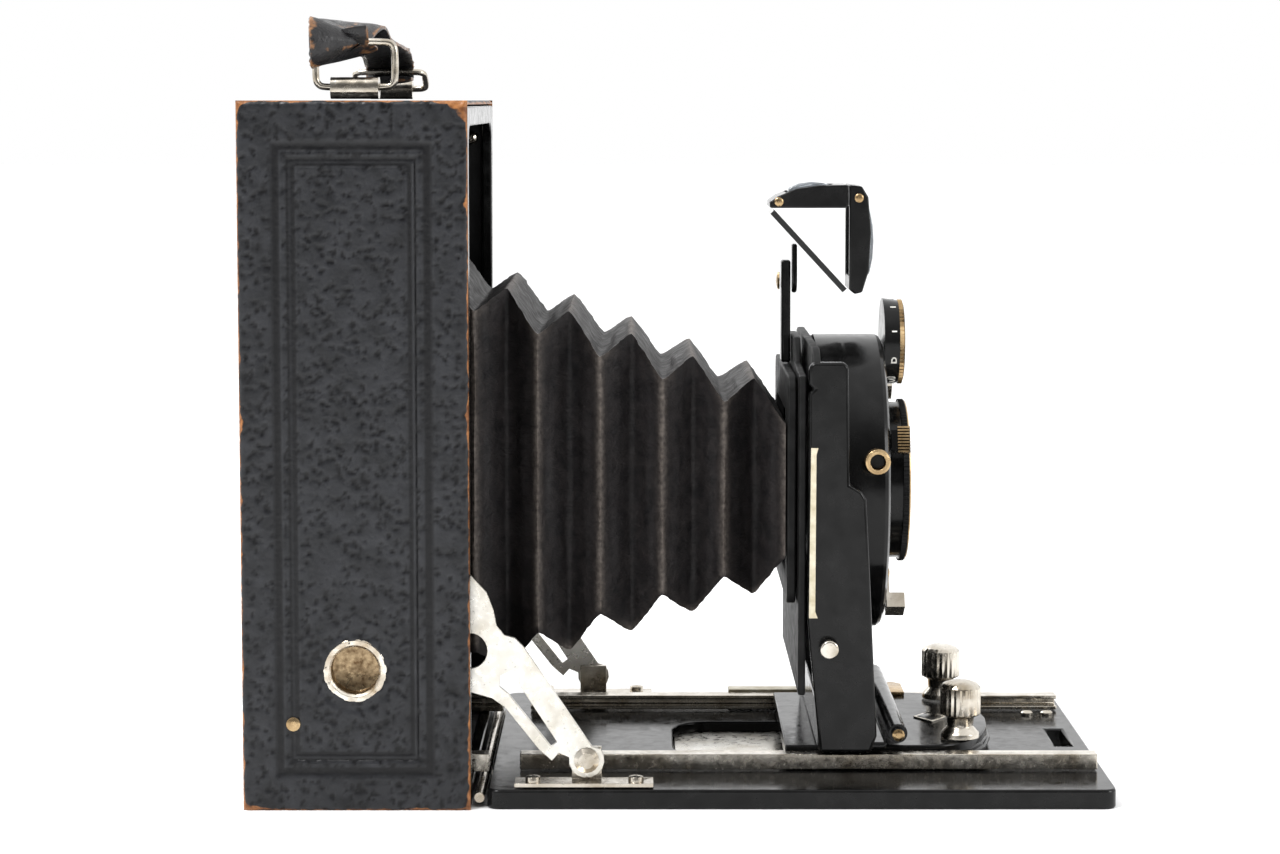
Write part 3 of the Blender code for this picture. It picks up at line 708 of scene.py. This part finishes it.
def strap_path(near_bar, far_bar):
    """The strap's middle line as (y, z): round the near bar, slack, then round the far bar."""
    near_loop = bar_loop(near_bar, 70, LOOP_TURN)
    turn_back = [near_loop[0] + Vector((9, 1.4)) * MM, near_loop[0] + Vector((22, -1.6)) * MM]
    slack = [Vector((4, 153.0)) * MM, Vector((18, 152.6)) * MM, Vector((28, 152.4)) * MM]
    far_loop = bar_loop(far_bar, 110, -LOOP_TURN)
    under = [far_loop[-1] + Vector((-6, 0.3)) * MM]
    back = [near_loop[-1] + Vector((6, -0.6)) * MM]
    path = back + near_loop[::-1] + turn_back + slack + far_loop + under
    return smooth_path([Vector((0, p[0], p[1])) for p in path], 5)


def make_strap(looks):
    """A doubled strap between the rings: looped round both bars, slack and twisted."""
    near_low, near_high = (Vector(c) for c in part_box("handle_ring_near"))
    far_low, far_high = (Vector(c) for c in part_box("handle_ring_far"))
    middle_x = (near_low.x + near_high.x) / 2
    near_bar = Vector((near_low.y + near_high.y, 2 * near_high.z - 1.6 * MM)) / 2
    far_bar = Vector((far_low.y + 0.8 * MM, far_high.z - 0.8 * MM))
    points = strap_path(near_bar, far_bar)
    bm = bmesh.new()
    wear_layer = bm.verts.layers.float.new("wear")
    sections = []
    for k, spot in enumerate(points):
        share = k / (len(points) - 1)
        tangent = (points[min(k + 1, len(points) - 1)] - points[max(k - 1, 0)]).normalized()
        near = exp(-((spot.y - near_bar[0]) / (9 * MM)) ** 2)
        twist = 0.42 * near + 0.12 * sin(share * 9)
        width_axis = Matrix.Rotation(twist, 3, tangent) @ Vector((1, 0, 0))
        normal = tangent.cross(width_axis).normalized()
        half = (5.4 + 0.9 * near) * MM
        shift = Vector((-3.2 * MM * near, 0, 0))
        ring = []
        for layer in (1, -1):
            for n in range(STRAP_STEPS + 1)[::layer]:
                t = -1 + 2 * n / STRAP_STEPS
                crown = STRAP_THICK / 2 * (1 - 0.55 * t ** 4)
                ragged = 0.25 * MM * noise.noise(Vector((k * 0.5, t * 3, layer)))
                place = Vector((middle_x, 0, 0)) + spot + shift
                place += width_axis * (half * t + ragged) + normal * (crown * layer)
                vert = bm.verts.new(place)
                torn = noise.noise(Vector((share * 14, t * 2, 0.5))) * 0.6
                vert[wear_layer] = min(1.0, max(0.0, abs(t) ** 8 * 0.95 + 0.55 * (layer < 0) + torn - 0.05))
                ring.append(vert)
        sections.append(ring)
    join_rings(bm, sections)
    bm.faces.new(sections[0])
    bm.faces.new(sections[-1])
    bmesh.ops.recalc_face_normals(bm, faces=bm.faces)
    piece("carrying_strap", bm, looks["strap"], "case", ("strap",), smooth=70)


def smooth_path(points, steps):
    """Points along a Catmull-Rom curve through the given points."""
    out = []
    for k in range(len(points) - 1):
        p0, p1 = points[max(k - 1, 0)], points[k]
        p2, p3 = points[k + 1], points[min(k + 2, len(points) - 1)]
        for n in range(steps):
            t = n / steps
            out.append(0.5 * (2 * p1 + (p2 - p0) * t + (2 * p0 - 5 * p1 + 4 * p2 - p3) * t * t
                              + (3 * p1 - p0 - 3 * p2 + p3) * t ** 3))
    out.append(points[-1])
    return out


# ---- Trim ---------------------------------------------------------------------------------

X, Y, Z = Vector((1, 0, 0)), Vector((0, 1, 0)), Vector((0, 0, 1))


# Places of the trim, in millimetres
SIDE_RIVET = (10.2, 17.6)
LATCH_STUD = (-46.8, 47.2, 133.5)
STOP_RIVETS = {"rear": (79.0, 24.5, 4.05), "front": (83.4, 24.5, 4.05)}
FINDER_SCREWS = {"rear": (21.2, 120.6), "front": (38.2, 121.4)}
SHUTTER_SCREW_ANGLES = (128, 180, 232)
SHUTTER_SCREW_ORBIT = 27.4
POINTER = ((47.2, 24, 0), (51.3, 24, 0), (51.3, 34, 0), (49.2, 36.6, 0), (47.2, 34, 0))
BADGE_X = 54.8
BADGE = ((51.2, 0), (BADGE_X, 5.2), (58.4, 0), (BADGE_X, -5.2))
BADGE_FIELD = 0.78
WINDOW_PLATE = ((-0.6, -16.6, 1.3), (29.6, -16.6, 1.3), (29.6, 16.6, 1.3), (-0.6, 16.6, 1.3))
RISE_STRIP = ((26.3, 36.6), (28.1, 36.6), (27.6, 38.0), (27.7, 70.2), (28.1, 71.6), (26.6, 71.6))
LENS_Z = 60.5
GRIP_ORBIT = 28.5
GRIP_ANGLE = 66
GRIP_SPREAD = 10.4
GRIP_RIBS = 9


def screw_head(name, material, body, axis, centre, radius, height):
    """A domed head, without a slot."""
    profile = [(0, 0), (0, radius), (height * 0.5, radius), (height * 0.85, radius * 0.75),
               (height, radius * 0.4), (height, 0)]
    return turned(name, material, body, axis, centre, profile, 28)


def make_case_trim(looks):
    """The rivet in the side, the latch's stud, the bed's stop rivets and the plate under its window."""
    side_low = Vector(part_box("leather_side_near")[0])
    screw_head("side_rivet", looks["brass"], "case", -Y,
               Vector((side_low.x + SIDE_RIVET[0] * MM, side_low.y + 0.2 * MM, SIDE_RIVET[1] * MM)),
               1.4 * MM, 0.5 * MM)
    screw_head("latch_stud", looks["nickel"], "case", -Y, Vector(LATCH_STUD) * MM,
               1.5 * MM, 2.4 * MM)
    for label, spot in STOP_RIVETS.items():
        screw_head("stop_rivet_" + label, looks["nickel"], "case", Z, Vector(spot) * MM,
                   1.4 * MM, 1.0 * MM)
    slab("window_plate", looks["satin_nickel"], "case",
         [Vector(p) * MM for p in WINDOW_PLATE], Z * 0.5 * MM, 0.00005)


def make_finder_screws(looks):
    front_high = Vector(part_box("finder_front_frame")[1])
    for side, label in ((-1, "near"), (1, "far")):
        for end, (x, z) in FINDER_SCREWS.items():
            screw_head(f"finder_screw_{end}_{label}", looks["brass"], "finder", Y * side,
                       Vector((x * MM, side * front_high.y, z * MM)), 0.95 * MM, 0.45 * MM)


def make_carriage_trim(looks):
    """The scale's pointer, the lozenge badge, the rise strip and the ends of the clamp bar."""
    top = Vector(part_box("carriage")[1]).z
    pointer = slab("focus_pointer", looks["brass"], "carriage",
                   [Vector(p) * MM for p in POINTER], Z * 0.8 * MM, 0.00008)
    pointer.data.transform(Matrix.Translation((0, 0, top + 0.05 * MM)))
    slab("lozenge_plate", looks["nickel"], "carriage",
         [Vector((x * MM, y * MM, top + 0.02 * MM)) for x, y in BADGE], Z * 0.3 * MM, 0.00005)
    field = [(BADGE_X * MM + (x - BADGE_X) * BADGE_FIELD * MM, y * BADGE_FIELD * MM) for x, y in BADGE]
    slab("lozenge_field", looks["lacquer"], "carriage",
         [Vector((x, y, top + 0.33 * MM)) for x, y in field], Z * 0.08 * MM, 0.00002)
    make_strip(looks, Vector(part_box("standard_arm_near")[0]))
    bar_low, bar_high = (Vector(c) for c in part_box("foot_clamp_bar"))
    middle = (bar_low + bar_high) / 2
    for side, end_y in ((-1, bar_low.y), (1, bar_high.y)):
        screw_head("clamp_bar_end_" + ("near" if side < 0 else "far"), looks["brass"], "carriage",
                   Y * side, Vector((middle.x, end_y - side * 0.1 * MM, middle.z)),
                   1.25 * MM, 0.5 * MM)


def make_lens_trim(looks):
    """The shutter's screws, the knurl and bright edge of the lens ring, and a black disc of painted shade
    in the cable socket's bore.
    """
    lens_low, lens_high = (Vector(c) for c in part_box("shutter_case"))
    lens_z = ((lens_low + lens_high) / 2).z
    for angle in SHUTTER_SCREW_ANGLES:
        a = radians(angle)
        reach = SHUTTER_SCREW_ORBIT * MM
        spot = Vector((lens_high.x, -reach * sin(a), lens_z + reach * cos(a)))
        screw_head(f"shutter_screw_{angle}", looks["brass"], "shutter", X, spot,
                   1.1 * MM, 0.6 * MM)
    centre = Vector((0, 0, lens_z))
    ring_high = Vector(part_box("front_cell")[1])
    front, radius = ring_high.x, ring_high.y
    turned("lens_ring_knurl", looks["matt_black"], "shutter", X, centre,
           [(front - 1.5 * MM, radius - 0.8 * MM), (front - 1.5 * MM, radius + 0.25 * MM),
            (front - 0.45 * MM, radius + 0.25 * MM), (front - 0.3 * MM, radius - 0.8 * MM)],
           240, ((1, 2), 0.28 * MM))
    turned("lens_ring_edge", looks["brass"], "shutter", X, centre,
           [(front - 0.28 * MM, radius - 1.1 * MM), (front - 0.28 * MM, radius + 0.05 * MM),
            (front - 0.02 * MM, radius - 0.12 * MM), (front, radius - 1.1 * MM)], 120)
    socket_low, socket_high = (Vector(c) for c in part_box("cable_socket"))
    middle = (socket_low + socket_high) / 2
    # Painted shade: a matt black disc low in the cable socket's bore stands for the dark inside it.
    turned("cable_socket_shade_disc", looks["matt_black"], "shutter", -Y,
           Vector((middle.x, socket_low.y + 1.6 * MM, middle.z)),
           [(0, 0), (0, 1.45 * MM), (0.2 * MM, 1.4 * MM), (0.2 * MM, 0)], 24)


def make_trim(looks):
    """The small pieces that are only seen."""
    make_case_trim(looks)
    make_finder_screws(looks)
    make_carriage_trim(looks)
    make_lens_trim(looks)
    make_dial(looks)
    make_lever_grip(looks, Vector(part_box("aperture_lever")[1]).x)


def make_strip(looks, arm_low):
    """The pale strip up the near arm's rear edge, pinched in at both ends."""
    slab("rise_strip", looks["ivory"], "carriage",
         [Vector((x * MM, arm_low.y - 0.02 * MM, z * MM)) for x, z in RISE_STRIP], -Y * 0.45 * MM)


DIAL_MARKS = ("100", "B", "1", "T", "2", "5", "10", "25", "50")


def make_dial(looks):
    """Numbers round the dial's drum and the knurled brass edge at its front."""
    low, high = (Vector(c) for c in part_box("speed_dial"))
    centre = Vector((0, 0, (low.z + high.z) / 2))
    radius = (high.z - low.z) / 2
    turned("dial_edge", looks["brass"], "speed_dial", X, centre,
           [(high.x - 1.2 * MM, radius - 2.2 * MM), (high.x - 1.2 * MM, radius - 0.35 * MM),
            (high.x - 0.3 * MM, radius - 0.35 * MM), (high.x - 0.1 * MM, radius - 2.2 * MM)],
           120, ((1, 2), 0.25 * MM))
    for k, label in enumerate(DIAL_MARKS):
        a = radians(-62 + 40 * k)
        text = bpy.data.curves.new("dial_mark", "FONT")
        text.body = label
        text.size = 3.0 * MM
        text.extrude = 0.04 * MM
        text.align_x = "CENTER"
        text.align_y = "CENTER"
        out = Vector((0, -cos(a), sin(a)))
        along = Vector((0, sin(a), cos(a)))
        helper = bpy.data.objects.new("dial_mark", text)
        bpy.context.scene.collection.objects.link(helper)
        bpy.context.view_layer.update()
        mesh = bpy.data.meshes.new_from_object(helper.evaluated_get(bpy.context.evaluated_depsgraph_get()))
        bpy.data.objects.remove(helper)
        turn = Matrix((along, out.cross(along), out)).transposed()
        spot = centre + out * (radius - 0.28 * MM) + X * (low.x + 1.7 * MM)
        mesh.transform(Matrix.Translation(spot) @ turn.to_4x4())
        mesh.materials.clear()
        mesh.materials.append(looks["ink"])
        mark = bpy.data.objects.new(f"dial_mark_{k}", mesh)
        bpy.context.scene.collection.objects.link(mark)
        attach(mark, "speed_dial")


def make_lever_grip(looks, front_x):
    """A ribbed brass grip over the aperture lever's tab."""
    bm = bmesh.new()
    reach = GRIP_ORBIT * MM
    for n in range(GRIP_RIBS):
        a = radians(GRIP_ANGLE - GRIP_SPREAD / 2 + GRIP_SPREAD * n / (GRIP_RIBS - 1))
        middle = Vector((front_x - 1.3 * MM, -reach * sin(a), LENS_Z * MM + reach * cos(a)))
        radial = Vector((0, -sin(a), cos(a)))
        across = Vector((0, -cos(a), -sin(a)))
        cube = bmesh.ops.create_cube(bm, size=1)["verts"]
        frame_matrix = Matrix((X * 2.6 * MM, radial * 1.1 * MM, across * 0.36 * MM)).transposed()
        bmesh.ops.transform(bm, matrix=Matrix.Translation(middle) @ frame_matrix.to_4x4(), verts=cube)
    bmesh.ops.recalc_face_normals(bm, faces=bm.faces)
    piece("aperture_grip", bm, looks["brass"], "aperture_lever")


# ---- Stage --------------------------------------------------------------------------------

CAMERA_X = -8.2 * MM
CAMERA_HEIGHT = 142 * MM
CAMERA_GAP = 592 * MM
PITCH = 5.0
FOCAL = 84.4
SHIFT = -0.05


FLOOR_HALF = 6.0
AIM = Vector((0, 0, 0.07))
LAMPS = (("key", (-0.45, -0.42, 0.9), 0.30, 8.0),
         ("fill", (0.9, -0.45, 0.45), 0.35, 3.0),
         ("rim", (-0.6, 0.7, 0.7), 0.5, 3.0))
DIM = 0.18
BRIGHT = 1.35
DIM_AT, BRIGHT_AT = -0.95, -0.25


def light_the_room(tree):
    """Light from all round, dimmer from -Y so that glossy near sides stay dark; shown as plain white."""
    background = tree.nodes["Background"]
    background.inputs["Strength"].default_value = 1.0
    direction = tree.nodes.new("ShaderNodeTexCoord").outputs["Generated"]
    split = tree.nodes.new("ShaderNodeSeparateXYZ")
    tree.links.new(direction, split.inputs["Vector"])
    shade = tree.nodes.new("ShaderNodeMapRange")
    shade.interpolation_type = "SMOOTHSTEP"
    shade.inputs["From Min"].default_value = DIM_AT
    shade.inputs["From Max"].default_value = BRIGHT_AT
    shade.inputs["To Min"].default_value = DIM
    shade.inputs["To Max"].default_value = BRIGHT
    tree.links.new(split.outputs["Y"], shade.inputs["Value"])
    seen = tree.nodes.new("ShaderNodeLightPath").outputs["Is Camera Ray"]
    blend = tree.nodes.new("ShaderNodeMix")
    tree.links.new(seen, blend.inputs[0])
    tree.links.new(shade.outputs["Result"], blend.inputs[2])
    blend.inputs[3].default_value = 1.0
    tree.links.new(blend.outputs[0], background.inputs["Color"])


def make_stage():
    """Pale floor, soft light and the camera."""
    bm = bmesh.new()
    bmesh.ops.create_grid(bm, x_segments=1, y_segments=1, size=FLOOR_HALF)
    mesh = bpy.data.meshes.new("floor")
    bm.to_mesh(mesh)
    bm.free()
    floor = bpy.data.objects.new("floor", mesh)
    bpy.context.scene.collection.objects.link(floor)
    look = Look("pale_floor", (0.93, 0.93, 0.93), 0.6)
    look.colour(look.ramp(look.noise(3, 2), [(0.3, (0.95, 0.95, 0.95)), (0.7, (0.97, 0.97, 0.97))]))
    floor.data.materials.append(look.material)
    world = bpy.data.worlds.new("studio")
    world.use_nodes = True
    light_the_room(world.node_tree)
    bpy.context.scene.world = world
    for name, place, size, power in LAMPS:
        lamp = bpy.data.lights.new(name, "AREA")
        lamp.size = size
        lamp.energy = power
        thing = bpy.data.objects.new(name, lamp)
        thing.location = place
        thing.rotation_euler = (AIM - Vector(place)).to_track_quat("-Z", "Y").to_euler()
        bpy.context.scene.collection.objects.link(thing)
    near_y = CAD_BOUNDS[0][1]
    data = bpy.data.cameras.new("camera")
    data.lens = FOCAL
    data.shift_y = SHIFT
    data.sensor_width = 36.0
    data.clip_start = 0.01
    camera = bpy.data.objects.new("camera", data)
    camera.location = (CAMERA_X, near_y - CAMERA_GAP, CAMERA_HEIGHT)
    camera.rotation_euler = (radians(90 - PITCH), 0, 0)
    bpy.context.scene.collection.objects.link(camera)
    bpy.context.scene.camera = camera
    bpy.context.scene.view_settings.view_transform = "Standard"


def main():
    looks = make_materials()
    dress_nodes(looks)
    soften_edges(frame["record"])
    make_leather(looks)
    make_bellows(looks)
    make_strap(looks)
    make_trim(looks)
    make_stage()


main()
